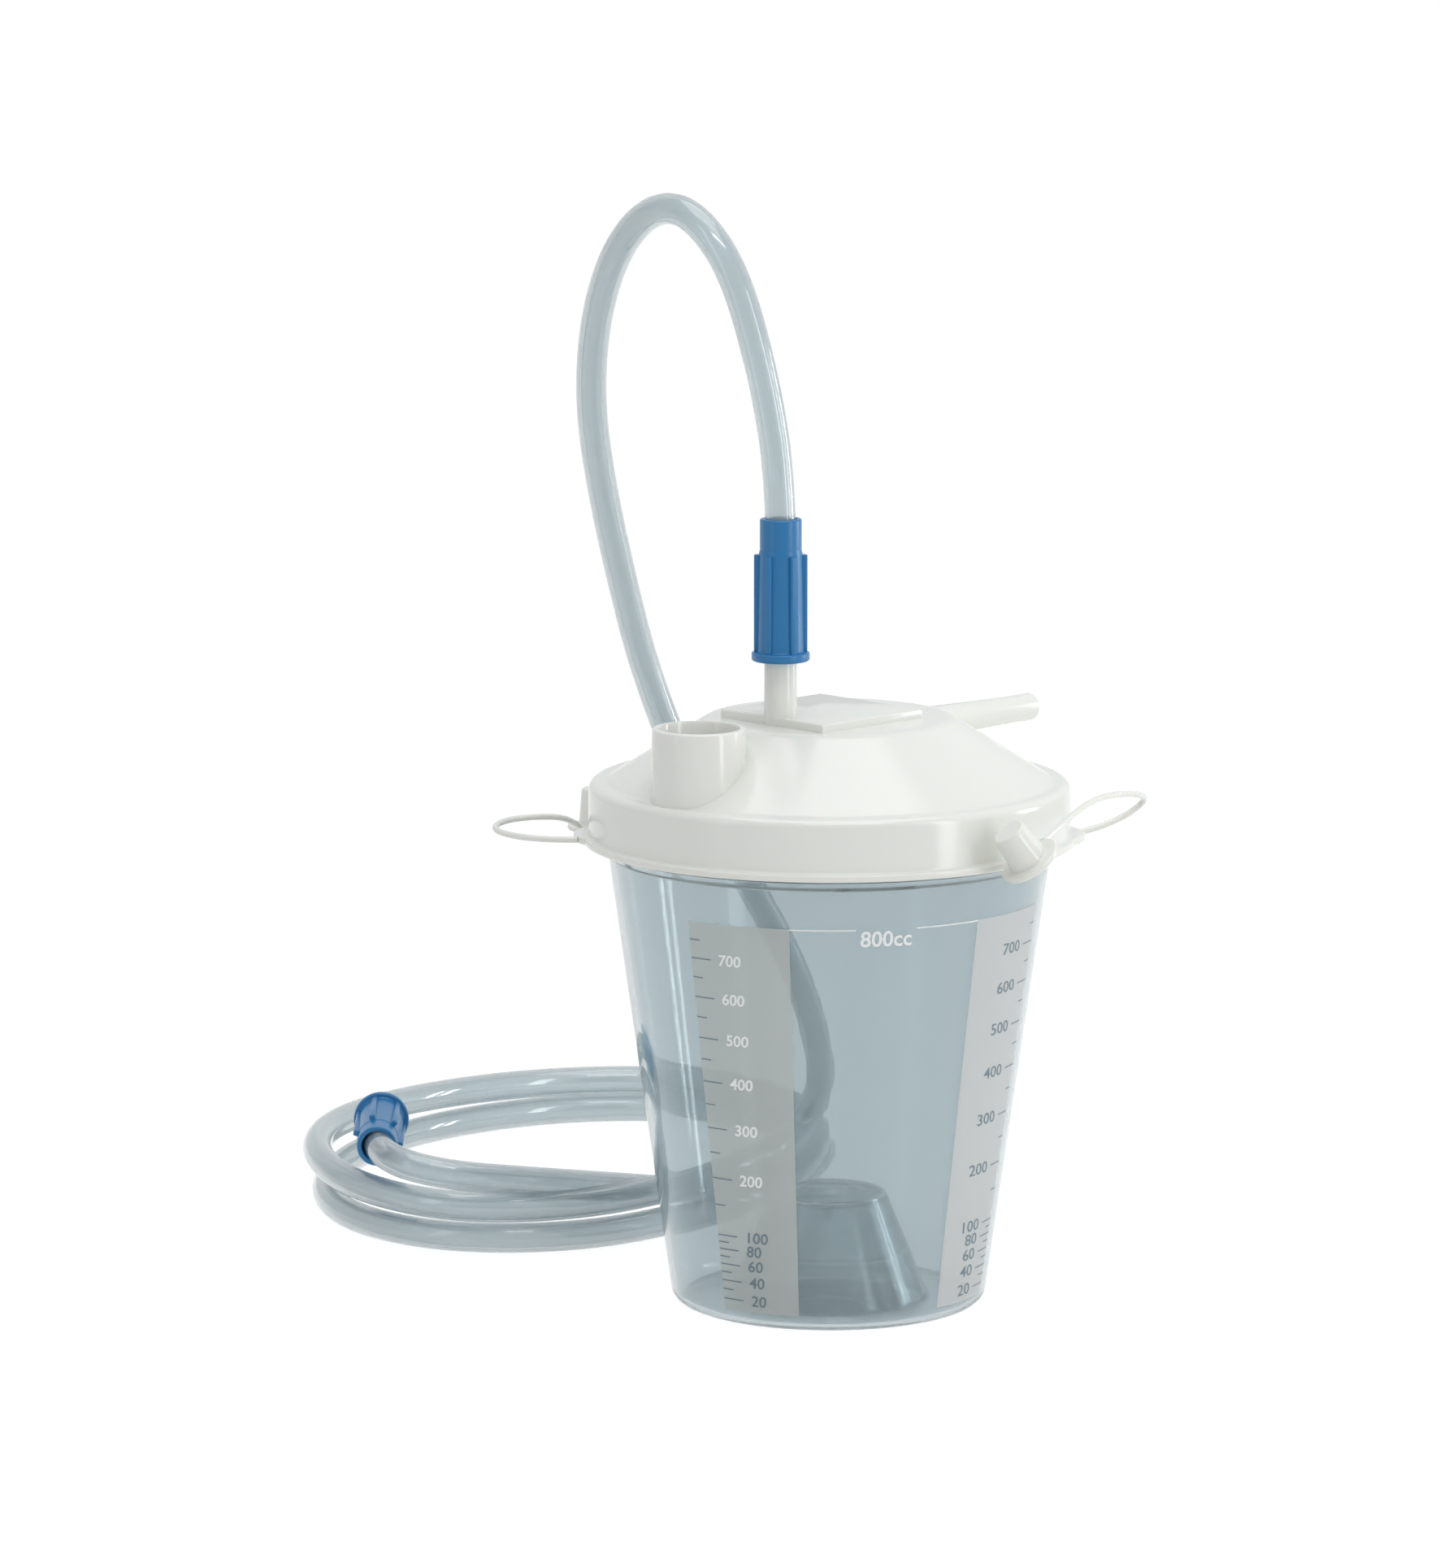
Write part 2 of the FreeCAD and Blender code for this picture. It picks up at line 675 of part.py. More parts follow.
def make_connector(name):
    """Connector: brim, ribbed barrel and sleeve, with a port socket below and a hose socket above."""
    body = new_body(name)
    s = size
    sleeve_start = s.connector_length - s.sleeve_length
    hose_socket = s.connector_length - s.hose_socket_depth
    hose_hole = s.hose_diameter / 2 + s.hose_socket_clearance
    turned(body, "barrel", [
        (s.port_socket_radius, 0),
        (s.brim_radius, 0, 0.6),
        (s.brim_radius, s.brim_thickness, 0.6),
        (s.barrel_radius + 0.4, s.brim_thickness, 0.6),
        (s.barrel_radius, sleeve_start),
        (s.sleeve_radius, sleeve_start + 1.2),
        (s.sleeve_radius, s.connector_length, 0.5),
        (hose_hole, s.connector_length),
        (hose_hole, hose_socket),
        (s.connector_bore_radius, hose_socket),
        (s.connector_bore_radius, s.port_socket_depth),
        (s.port_socket_radius, s.port_socket_depth),
    ])
    rib_outline = sketch_on(body, "rib_outline", "XZ_Plane")
    root = (s.port_socket_radius + s.barrel_radius) / 2
    outline(rib_outline, [
        (root, s.brim_thickness * 0.5),
        (s.rib_reach - 0.1, s.brim_thickness * 0.5),
        (s.rib_reach, s.connector_length * 0.28, 8.0),
        (s.rib_reach - 0.2, sleeve_start, 0.8),
        (root, sleeve_start),
    ])
    doc.recompute()
    rib = body.newObject("PartDesign::Pad", "rib")
    rib.Profile = rib_outline
    rib.Midplane = True
    bind(rib, "Length", s.rib_width)
    doc.recompute()
    fan = body.newObject("PartDesign::PolarPattern", "ribs")
    fan.Originals = [rib]
    fan.Axis = (rib_outline, ["V_Axis"])
    fan.Angle = 360
    bind(fan, "Occurrences", s.rib_count)
    body.Tip = fan
    doc.recompute()
    return body


def make_near_connector():
    body = make_connector("near_connector")
    spread = 15.0
    body.Placement = FreeCAD.Placement(
        FreeCAD.Vector(), FreeCAD.Rotation(FreeCAD.Vector(0, 0, 1), spread))
    bind(body, "Placement.Base.x", size.patient_centre)
    bind(body, "Placement.Base.z", lid_places().port_mouth)
    return body


def make_far_connector():
    """The free end's connector lies across the coil, its sleeve towards the hose."""
    body = make_connector("far_connector")
    tail_end, before = FreeCAD.Vector(*TAIL_POINTS[-1]), FreeCAD.Vector(*TAIL_POINTS[-2])
    way_back = (before - tail_end).normalize()
    hose_stop = size.connector_length.value - size.hose_socket_depth.value
    body.Placement = FreeCAD.Placement(
        tail_end - way_back * hose_stop, FreeCAD.Rotation(FreeCAD.Vector(0, 0, 1), way_back))
    return body


def smooth_path(points, title):
    """Straight runs joined by tangent arcs, each as large as its two runs allow."""
    spots = [FreeCAD.Vector(*point) for point in points]
    edges = []
    radii = []
    start = spots[0]
    for before, corner, after in zip(spots, spots[1:], spots[2:]):
        into = corner - before
        out = after - corner
        reach = 0.45 * min(into.Length, out.Length)
        into.normalize()
        out.normalize()
        half_turn = into.getAngle(out) / 2
        radius = reach / math.tan(half_turn)
        inward = (out - into).normalize()
        middle = corner + inward * (radius / math.cos(half_turn) - radius)
        first, last = corner - into * reach, corner + out * reach
        edges.append(Part.LineSegment(start, first).toShape())
        edges.append(Part.Arc(first, middle, last).toShape())
        radii.append(radius)
        start = last
    edges.append(Part.LineSegment(start, spots[-1]).toShape())
    path = Part.Wire(edges)
    print(title, "length", round(path.Length, 1), "radii", [round(radius, 1) for radius in radii])
    return path


def strand(points, diameter, title):
    """A round strand along a smooth path."""
    path = smooth_path(points, title)
    start = FreeCAD.Vector(*points[0])
    way = FreeCAD.Vector(*points[1]) - start
    section = Part.Face(Part.Wire(Part.makeCircle(diameter / 2, start, way)))
    shape = path.makePipe(section)
    expected = path.Length * math.pi * diameter ** 2 / 4
    print(title, "volume", round(shape.Volume, 1), "section times length", round(expected, 1))
    return shape


def make_strand(name, points, diameter):
    feature = doc.addObject("Part::Feature", name)
    feature.Label = name
    feature.Shape = strand(points, diameter.value, name)
    return feature


def make_tethered_cap(name, side, place, tether_points):
    """Cap with a wide brim, and the thin strand that ties it to an ear of the lid."""
    s = size
    at = lid_places()
    cap = new_body(name + "_cap")
    turned(cap, "cap_section", [
        (0, s.cap_length - s.cap_crown),
        (s.cap_crown_radius - s.cap_wall, s.cap_length - s.cap_crown),
        (s.cap_radius - s.cap_wall, 0),
        (s.cap_brim_radius, 0, s.cap_brim_thickness * 0.4),
        (s.cap_brim_radius, s.cap_brim_thickness, s.cap_brim_thickness * 0.4),
        (s.cap_radius, s.cap_brim_thickness, 0.4),
        (s.cap_crown_radius, s.cap_length, 0.6),
        (0, s.cap_length),
    ])
    crown_way = FreeCAD.Vector(*place["crown"])
    cap.Placement = FreeCAD.Placement(
        FreeCAD.Vector(*place["brim"]), FreeCAD.Rotation(FreeCAD.Vector(0, 0, 1), crown_way))
    tether = make_strand(name + "_tether", tether_points, s.tether_diameter)
    both = doc.addObject("Part::MultiFuse", name)
    both.Label = name
    both.Shapes = [cap, tether]
    bind(both, "Placement.Base.x", at.ear_x * side)
    bind(both, "Placement.Base.y", at.ear_y * side)
    bind(both, "Placement.Base.z", at.flange_bottom)
    doc.recompute()
    return both


def run_route():
    """The run's points, stretched so that the first is where the connector holds the hose."""
    s = size
    first = RUN_POINTS[0]
    stop = lid_places().port_mouth + s.connector_length - s.hose_socket_depth
    aside = s.patient_centre.value - first[0]
    lift = stop.value - first[2]
    return [(x + aside * z / first[2], y, z + lift * z / first[2]) for x, y, z in RUN_POINTS]


def make_hose_coil():
    """Outer shape of the coil's turns: an oval band that lies on the table."""
    s = size
    tools = {}
    for part, grow in (("outer", s.coil_band / 2), ("inner", -(s.coil_band / 2))):
        oval = doc.addObject("Part::Ellipse", "coil_" + part + "_oval")
        bind(oval, "MajorRadius", s.coil_long_radius + grow)
        bind(oval, "MinorRadius", s.coil_short_radius + grow)
        block = doc.addObject("Part::Extrusion", "coil_" + part)
        block.Base = oval
        block.Dir = FreeCAD.Vector(0, 0, 1)
        block.Solid = True
        bind(block, "LengthFwd", s.coil_height)
        tools[part] = block
    doc.recompute()
    band = doc.addObject("Part::Cut", "coil_band")
    band.Base = tools["outer"]
    band.Tool = tools["inner"]
    doc.recompute()
    coil = doc.addObject("Part::Fillet", "hose_coil")
    coil.Label = "hose_coil"
    coil.Base = band
    edge = s.coil_edge.value
    rings = [index for index, item in enumerate(band.Shape.Edges, start=1)
             if item.BoundBox.ZLength < 0.01]
    coil.Edges = [(index, edge, edge) for index in rings]
    turn = FreeCAD.Rotation(FreeCAD.Vector(0, 0, 1), s.coil_turn.value)
    coil.Placement = FreeCAD.Placement(FreeCAD.Vector(), turn)
    bind(coil, "Placement.Base.x", s.coil_centre_x)
    bind(coil, "Placement.Base.y", s.coil_centre_y)
    doc.recompute()
    return coil


nodes = [
    make_canister(),
    make_lid(),
    make_pour_spout(),
    make_patient_port(),
    make_vacuum_port(),
    make_float_cage(),
    make_float(),
    make_float_seal(),
    make_near_connector(),
    make_far_connector(),
    make_tethered_cap("tethered_cap_right", 1.0, RIGHT_CAP, RIGHT_TETHER),
    make_tethered_cap("tethered_cap_left", -1.0, LEFT_CAP, LEFT_TETHER),
    make_strand("hose_run", run_route(), size.hose_diameter),
    make_hose_coil(),
    make_strand("hose_tail", TAIL_POINTS, size.hose_diameter),
]
doc.recompute()

for item in doc.Objects:
    failed = [word for word in item.State if word in ("Invalid", "Error")]
    if failed:
        raise ValueError(f"{item.Name} is {failed}")
os.makedirs("parts", exist_ok=True)
for node in nodes:
    shape = node.Shape
    if shape.isNull() or not shape.isValid() or not shape.Solids:
        raise ValueError(f"{node.Label} has no valid solid")
    shape.exportStep(f"parts/{node.Label}.step")
    box = shape.BoundBox
    print(node.Label, "solids", len(shape.Solids), "volume", round(shape.Volume / 1000, 2), "cm3",
          "box", [round(v, 1) for v in (box.XMin, box.YMin, box.ZMin, box.XMax, box.YMax, box.ZMax)])
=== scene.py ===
# %% [markdown]
# # A suction canister, its lid and its hose
# A hospital suction canister is a clear tapered cup with a white lid. Fluid comes in through a soft clear
# hose, and a pump pulls the air out through the lid's other port. Here the exact solids come from the packed
# model, and this notebook gives each piece the form and finish that the eye sees.

# %% Load the solids
import bmesh
import bpy
import math
from mathutils import Matrix, Vector


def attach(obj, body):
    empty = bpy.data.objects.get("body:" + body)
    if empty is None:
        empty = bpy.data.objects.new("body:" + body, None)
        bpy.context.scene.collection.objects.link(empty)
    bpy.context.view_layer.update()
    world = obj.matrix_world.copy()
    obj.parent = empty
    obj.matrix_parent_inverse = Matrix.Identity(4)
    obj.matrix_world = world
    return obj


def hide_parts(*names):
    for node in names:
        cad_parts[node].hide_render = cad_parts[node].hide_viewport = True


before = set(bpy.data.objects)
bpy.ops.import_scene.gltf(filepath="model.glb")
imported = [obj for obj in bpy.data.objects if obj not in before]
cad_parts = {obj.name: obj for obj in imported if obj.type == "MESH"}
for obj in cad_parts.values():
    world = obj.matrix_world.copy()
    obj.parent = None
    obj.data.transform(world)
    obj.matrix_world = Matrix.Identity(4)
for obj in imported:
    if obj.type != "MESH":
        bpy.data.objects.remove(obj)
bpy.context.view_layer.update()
MM = 0.001
print("solids:", ", ".join(sorted(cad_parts)))

# %% [markdown]
# ## The camera
# The picture is taken from far away with a long lens, so upright edges stay nearly upright. A fitted distance
# and a pitch of under ten degrees give the ellipses of the cup's foot and rim. The camera is made first,
# because every later choice is judged through it.

# %% Camera
CAMERA_PLACE = Vector((-1.5475, -1.5058, 0.5053))
CAMERA_PITCH, CAMERA_HEADING = math.radians(9.56), math.radians(-45)
FOCAL_PIXELS, PHOTO_HEIGHT = 10000, 1929
SENSOR = 36
LENS = FOCAL_PIXELS / PHOTO_HEIGHT * SENSOR
FARTHEST = 50
camera_data = bpy.data.cameras.new("camera")
camera_data.lens = LENS
camera_data.sensor_width = SENSOR
camera_data.clip_end = FARTHEST
camera = bpy.data.objects.new("camera", camera_data)
camera.location = CAMERA_PLACE
camera.rotation_euler = (math.radians(90) - CAMERA_PITCH, 0, CAMERA_HEADING)
bpy.context.scene.collection.objects.link(camera)
bpy.context.scene.camera = camera
TO_RIGHT = Vector((math.sqrt(0.5), -math.sqrt(0.5), 0))
AWAY = Vector((math.sqrt(0.5), math.sqrt(0.5), 0))
UP = Vector((0, 0, 1))
print("lens", round(LENS, 1), "mm, distance", round(CAMERA_PLACE.length, 2), "m")

# %% [markdown]
# ## Colours and nodes
# Colours are written as the hex values that a painter's program shows. Shaders want linear light, so one
# function turns each value. A second function adds a node, sets it and links it, and a few more name what the
# usual nodes are for.

# %% Helpers for materials


def paint(hex_colour):
    channels = [int(hex_colour[i:i + 2], 16) / 255 for i in (1, 3, 5)]
    linear = [c / 12.92 if c <= 0.04045 else ((c + 0.055) / 1.055) ** 2.4 for c in channels]
    return (*linear, 1.0)


def new_material(name):
    material = bpy.data.materials.new(name)
    material.use_nodes = True
    material.node_tree.nodes.clear()
    return material


def add_node(material, kind, settings=None):
    """A new node with these settings. One that is another node's output is linked."""
    node = material.node_tree.nodes.new(kind)
    for key, value in (settings or {}).items():
        if isinstance(value, bpy.types.NodeSocket):
            material.node_tree.links.new(value, node.inputs[key])
        elif isinstance(key, str) and hasattr(node, key):
            setattr(node, key, value)
        else:
            node.inputs[key].default_value = value
    return node


def calculated(material, operation, *values):
    settings = {"operation": operation, **dict(enumerate(values))}
    return add_node(material, "ShaderNodeMath", settings).outputs[0]


def remapped(material, value, low, high, start=0.0, end=1.0):
    """The value's way from start to end becomes the way from low to high."""
    return add_node(material, "ShaderNodeMapRange", {
        "From Min": start, "From Max": end, "To Min": low, "To Max": high, "Value": value,
    }).outputs["Result"]


def blended(material, share, first, second):
    """The second shader in this share, and the first in the rest."""
    return add_node(material, "ShaderNodeMixShader", {
        0: share, 1: first.outputs[0], 2: second.outputs[0]})


def uneven(material, place, scale, detail, strength, distance):
    """Noise on Object coordinates, and the normal of a surface that it makes uneven."""
    noise = add_node(material, "ShaderNodeTexNoise", {
        "Scale": scale, "Detail": detail, "Vector": place.outputs["Object"]}).outputs["Fac"]
    bump = add_node(material, "ShaderNodeBump", {
        "Strength": strength, "Distance": distance, "Height": noise})
    return noise, bump.outputs[0]


def surfaced(material, shader):
    add_node(material, "ShaderNodeOutputMaterial", {"Surface": shader.outputs[0]})
    return material


print("white paper is", [round(v, 2) for v in paint("#FFFFFF")])

# %% [markdown]
# ## Room: floor, daylight and lamps
# The object stands on a white sheet that fills the whole view. The sheet also glows a little where the camera,
# a glossy surface or clear plastic shows it, which makes it white and still lets it hold a soft shadow. Inside
# the cup's foot ring the glow is off, as the hollow under the cup is dim. The daylight is brighter where clear
# or glossy plastic shows it, like the white walls of a studio. Two tall softboxes stand in front, one on each
# side, a wide one hangs overhead, a strip lights the front from above, and two narrow panes behind on the
# right show in the cup as a window's bright streaks.

# %% Floor and light
GLOW_SHARE, GLOW_STRENGTH = 0.82, 1.14
DARK_WITHIN, GLOWS_BEYOND = 0.0255, 0.0285
DAYLIGHT, DAYLIGHT_SHOWN = 0.49, 0.84
FLOOR_SIZE, FLOOR_HEIGHT = 30, -0.0002


def shown_directly(material):
    """One where a ray comes straight from the camera, a mirror or clear plastic, and zero elsewhere."""
    path = add_node(material, "ShaderNodeLightPath")
    clear = calculated(material, "MAXIMUM", path.outputs["Is Camera Ray"], path.outputs["Is Transmission Ray"])
    return calculated(material, "MAXIMUM", clear, path.outputs["Is Glossy Ray"])


sheet_white = new_material("seamless paper")
paper = add_node(sheet_white, "ShaderNodeBsdfDiffuse", {"Color": paint("#F4F4F4")})
glow = add_node(sheet_white, "ShaderNodeEmission", {"Strength": GLOW_STRENGTH})
glowing = calculated(sheet_white, "MULTIPLY", shown_directly(sheet_white), GLOW_SHARE)
spot = add_node(sheet_white, "ShaderNodeTexCoord")
away = add_node(sheet_white, "ShaderNodeVectorMath", {"operation": "LENGTH", 0: spot.outputs["Object"]})
outside_ring = remapped(sheet_white, away.outputs["Value"], 0.0, 1.0, DARK_WITHIN, GLOWS_BEYOND)
glowing = calculated(sheet_white, "MULTIPLY", glowing, outside_ring)
surfaced(sheet_white, blended(sheet_white, glowing, paper, glow))

bpy.ops.mesh.primitive_plane_add(size=FLOOR_SIZE, location=(0, 0, FLOOR_HEIGHT))
floor = bpy.context.object
floor.name = "paper_floor"
floor.data.materials.append(sheet_white)

world = bpy.data.worlds.new("daylight")
bpy.context.scene.world = world
world.use_nodes = True
world.node_tree.nodes.clear()
brightness = remapped(world, shown_directly(world), DAYLIGHT, DAYLIGHT_SHOWN)
sky = add_node(world, "ShaderNodeBackground", {"Color": paint("#F5F8FA"), "Strength": brightness})
add_node(world, "ShaderNodeOutputWorld", {"Surface": sky.outputs[0]})

# Each lamp's place (right, away, up) and width in metres, its power in watts, and its height over its width.
LAMPS = [
    ("left_softbox", (-1.05, -0.75, 0.60), 0.28, 1.0, 4.0),
    ("right_softbox", (1.10, -0.75, 0.53), 0.24, 4.0, 4.6),
    ("overhead_softbox", (0.0, 0.1, 1.5), 1.1, 6.8, 1.0),
    ("front_strip", (0.1, -0.55, 1.25), 0.6, 1.9, 0.14),
    ("window_pane", (1.15, 0.27, 0.30), 0.06, 1.4, 8.0),
    ("window_pane", (1.15, 0.43, 0.30), 0.06, 1.4, 8.0),
]
LAMPS_AIM = Vector((0, 0.02, 0.1))

for name, (right, back, high), width, power, tall in LAMPS:
    light = bpy.data.lights.new(name, "AREA")
    light.shape = "RECTANGLE"
    light.size = width
    light.size_y = width * tall
    light.energy = power
    lamp = bpy.data.objects.new(name, light)
    lamp.location = right * TO_RIGHT + back * AWAY + high * UP
    lamp.rotation_euler = (LAMPS_AIM - lamp.location).to_track_quat("-Z", "Y").to_euler()
    bpy.context.scene.collection.objects.link(lamp)
bpy.context.scene.view_settings.view_transform = "Standard"

# %% [markdown]
# ## The hose's route
# Suction tubing is soft PVC, about 1.6 m long here. It leaves the connector straight up, falls over in a
# narrow arch behind the cup, and lies in two and a half oval turns that end in the second connector. The whole
# line is one NURBS curve: the arch's points are listed one by one, and a loop lays the turns from a short
# table of heights.

# %% Route of the hose
HOSE_RADIUS, HOSE_WALL = 4.2, 1.4
RUN = [
    (-18.8, 0.0, 203.8), (-18.8, 0.0, 225.0), (-19.8, 5.0, 252.0), (-21.5, 14.5, 280.5),
    (-22.5, 28.0, 294.5), (-20.5, 43.0, 296.5), (-17.5, 58.5, 289.0), (-14.0, 71.5, 275.0),
    (-10.0, 81.0, 256.5), (-5.0, 87.0, 235.5), (2.9, 90.4, 212.2), (12.1, 92.6, 187.5),
    (22.2, 93.8, 160.7), (36.1, 92.6, 130.8), (54.1, 88.0, 100.1), (69.3, 83.4, 74.0),
    (78.1, 82.4, 54.0), (84.5, 84.5, 34.5), (76.0, 88.0, 20.0),
]
COIL_CENTRE = Vector((49.6, 153.3, 0.0))
COIL_LONG, COIL_SHORT, COIL_TURN = 94.6, 69.4, math.radians(21.4)
COIL_START, COIL_STEP = 250, 30
# Height of the strand and how far it lies outside the mean oval at each step, clockwise from above.
TURNS = [
    (16.4, 0.0), (14.0, 4.0), (13.4, 5.0), (15.1, 2.0), (17.0, 0.0), (16.0, 0.0),
    (14.0, 0.0), (12.8, 0.0), (12.6, 0.0), (12.6, 0.0), (12.6, -1.0), (11.5, 2.0),
    (8.0, 5.0), (5.1, 5.0), (4.9, 4.5), (4.7, -0.5), (4.3, -3.0), (4.3, -2.0),
    (4.3, 0.0), (4.3, 0.0), (4.3, 0.0), (4.3, 2.0), (4.3, 4.0), (4.3, -4.0),
    (8.5, -6.5), (17.0, -4.0),
]
TAIL = [(-18.5, 93.5, 20.3), (-46.5, 106.0, 24.9), (-50.9, 126.3, 28.4), (-35.8, 141.6, 28.4)]


def on_coil(degrees, height, outside):
    angle = math.radians(degrees)
    along, across = (COIL_LONG + outside) * math.cos(angle), (COIL_SHORT + outside) * math.sin(angle)
    return COIL_CENTRE + Matrix.Rotation(COIL_TURN, 3, "Z") @ Vector((along, across, height))


route_points = [Vector(point) for point in RUN]
for step, (height, outside) in enumerate(TURNS):
    route_points.append(on_coil(COIL_START - COIL_STEP * step, height, outside))
route_points += [Vector(point) for point in TAIL]


def route_curve(name, points, radius=0.0, roundness=0, smoothness=10):
    """A smooth line with the points, given in millimetres, as its control points."""
    data = bpy.data.curves.new(name, "CURVE")
    data.dimensions = "3D"
    data.resolution_u = smoothness
    spline = data.splines.new("NURBS")
    spline.points.add(len(points) - 1)
    for control, point in zip(spline.points, points):
        control.co = (*(Vector(point) * MM), 1.0)
    spline.order_u = 3
    spline.use_endpoint_u = True
    data.bevel_depth = radius * MM
    data.bevel_resolution = roundness
    data.use_fill_caps = True
    curve = bpy.data.objects.new(name, data)
    bpy.context.scene.collection.objects.link(curve)
    return curve


line = route_curve("hose_line", route_points)
line_mesh = bpy.data.meshes.new_from_object(line)
bpy.data.objects.remove(line)

# %% [markdown]
# ## The hose itself
# Clear tubing shows two surfaces: its outside and its bore. The curve is swept to a tube of the outer
# diameter, turned into a mesh, and Solidify adds the wall inwards. Where it dives into a connector its ends
# stay open, as a cut tube is.

# %% Hose


def deselect_all():
    if bpy.context.mode != "OBJECT":
        bpy.ops.object.mode_set(mode="OBJECT")
    bpy.ops.object.select_all(action="DESELECT")


def only(piece):
    """Selects this piece alone and makes it the active one."""
    deselect_all()
    piece.select_set(True)
    bpy.context.view_layer.objects.active = piece


def apply_modifiers(piece):
    only(piece)
    for modifier in list(piece.modifiers):
        bpy.ops.object.modifier_apply(modifier=modifier.name)


def smooth(piece, degrees):
    only(piece)
    bpy.ops.object.shade_smooth_by_angle(angle=math.radians(degrees))


hose = route_curve("hose", route_points, HOSE_RADIUS, roundness=8)
hose.data.use_fill_caps = False
only(hose)
bpy.ops.object.convert(target="MESH")
hose = bpy.context.object
wall = hose.modifiers.new("wall", "SOLIDIFY")
wall.thickness = HOSE_WALL * MM
wall.offset = -1
apply_modifiers(hose)
smooth(hose, 50)
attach(hose, "lid")
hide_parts("hose_run", "hose_coil", "hose_tail")
print("hose faces", len(hose.data.polygons))

# %% [markdown]
# ## Turning round pieces
# Cup, lid, caps and connectors are all round, as a mould maker's lathe cuts them. A circle is added, and each
# next ring is extruded from the last and resized, so a profile of radius and height becomes a round wall.
# Corners of the profile that carry a third number are rounded to that radius.

# %% Helpers for round pieces
STEPS_PER_CORNER = 5
SAME_PLACE = 1e-6


def rounded(profile, closed):
    """Replaces each (radius, height, rounding) corner by short steps along its arc."""
    steps = []
    count = len(profile)
    for index, corner in enumerate(profile):
        here = Vector(corner[:2])
        at_end = not closed and index in (0, count - 1)
        if len(corner) < 3 or at_end:
            steps.append(here)
            continue
        before = Vector(profile[index - 1][:2])
        after = Vector(profile[(index + 1) % count][:2])
        into, out = (before - here).normalized(), (after - here).normalized()
        half = into.angle(out) / 2
        room = min((before - here).length, (after - here).length) * 0.49
        reach = min(corner[2] / math.tan(half), room)
        radius = reach * math.tan(half)
        centre = here + (into + out).normalized() * (radius / math.sin(half))
        start, end = here + into * reach, here + out * reach
        for part in range(STEPS_PER_CORNER + 1):
            blend = start.lerp(end, part / STEPS_PER_CORNER) - centre
            steps.append(centre + blend.normalized() * radius)
    return steps


def pick(piece, test):
    """Selects the vertices whose place passes the test, in edit mode."""
    bpy.ops.mesh.select_all(action="DESELECT")
    bpy.ops.mesh.select_mode(type="VERT")
    mesh = bmesh.from_edit_mesh(piece.data)
    for vertex in mesh.verts:
        vertex.select = test(vertex.co)
    mesh.select_flush(True)
    bmesh.update_edit_mesh(piece.data)


def turned(name, profile, segments, closed=False):
    """Rings extruded one from the last; an open profile is closed by a flat disc at each end."""
    rings = rounded(profile, closed)
    if closed:
        rings.append(rings[0])
    first = rings[0]
    deselect_all()
    bpy.ops.mesh.primitive_circle_add(
        vertices=segments, radius=first.x * MM, location=(0, 0, first.y * MM), fill_type="NOTHING")
    piece = bpy.context.object
    piece.name = name
    bpy.ops.object.transform_apply(location=True, rotation=True, scale=True)
    bpy.ops.object.mode_set(mode="EDIT")
    bpy.ops.mesh.select_mode(type="EDGE")
    bpy.ops.mesh.select_all(action="SELECT")
    for last, ring in zip(rings, rings[1:]):
        rise = (0, 0, (ring.y - last.y) * MM)
        bpy.ops.mesh.extrude_region_move(TRANSFORM_OT_translate={"value": rise})
        grow = ring.x / last.x
        bpy.ops.transform.resize(value=(grow, grow, 1), center_override=(0, 0, ring.y * MM))
    if closed:
        bpy.ops.mesh.select_all(action="SELECT")
        bpy.ops.mesh.remove_doubles(threshold=SAME_PLACE)
    else:
        bpy.ops.mesh.edge_face_add()
        pick(piece, lambda co: abs(co.z - first.y * MM) < SAME_PLACE
             and abs(math.hypot(co.x, co.y) - first.x * MM) < SAME_PLACE)
        bpy.ops.mesh.edge_face_add()
    bpy.ops.mesh.select_all(action="SELECT")
    bpy.ops.mesh.normals_make_consistent(inside=False)
    bpy.ops.object.mode_set(mode="OBJECT")
    return piece


def put(piece, place=(0, 0, 0), turn=None):
    """Moves a piece, given in millimetres, and leaves its object at the origin."""
    matrix = Matrix.Translation(Vector(place) * MM)
    if turn is not None:
        matrix = matrix @ turn.to_matrix().to_4x4()
    piece.matrix_world = matrix
    only(piece)
    bpy.ops.object.transform_apply(location=True, rotation=True, scale=True)


def block(name, size, middle, rounding):
    """A box with rounded edges, given in millimetres."""
    deselect_all()
    bpy.ops.mesh.primitive_cube_add(size=1)
    piece = bpy.context.object
    piece.name = name
    piece.scale = Vector(size) * MM
    piece.location = Vector(middle) * MM
    bpy.ops.object.transform_apply(location=True, rotation=True, scale=True)
    edges = piece.modifiers.new("edges", "BEVEL")
    edges.width = rounding * MM
    edges.segments = 3
    apply_modifiers(piece)
    return piece


def combine(piece, tool, operation):
    """A boolean with the tool, which is then removed."""
    modifier = piece.modifiers.new("cut", "BOOLEAN")
    modifier.operation = operation
    modifier.solver = "EXACT"
    modifier.object = tool
    apply_modifiers(piece)
    bpy.data.objects.remove(tool)


def join(pieces):
    only(pieces[0])
    for piece in pieces[1:]:
        piece.select_set(True)
    bpy.ops.object.join()
    return pieces[0]


print("helpers ready")

# %% [markdown]
# ## The cup
# The cup is injection moulded from clear polystyrene. Its wall flares by eight degrees, steps out to a
# stacking shoulder under the lid, and its bottom is pushed up into a tall hollow stump with a shallow dish on
# top, where the plastic was fed in. The profile runs round the whole section, so the wall is a real solid.

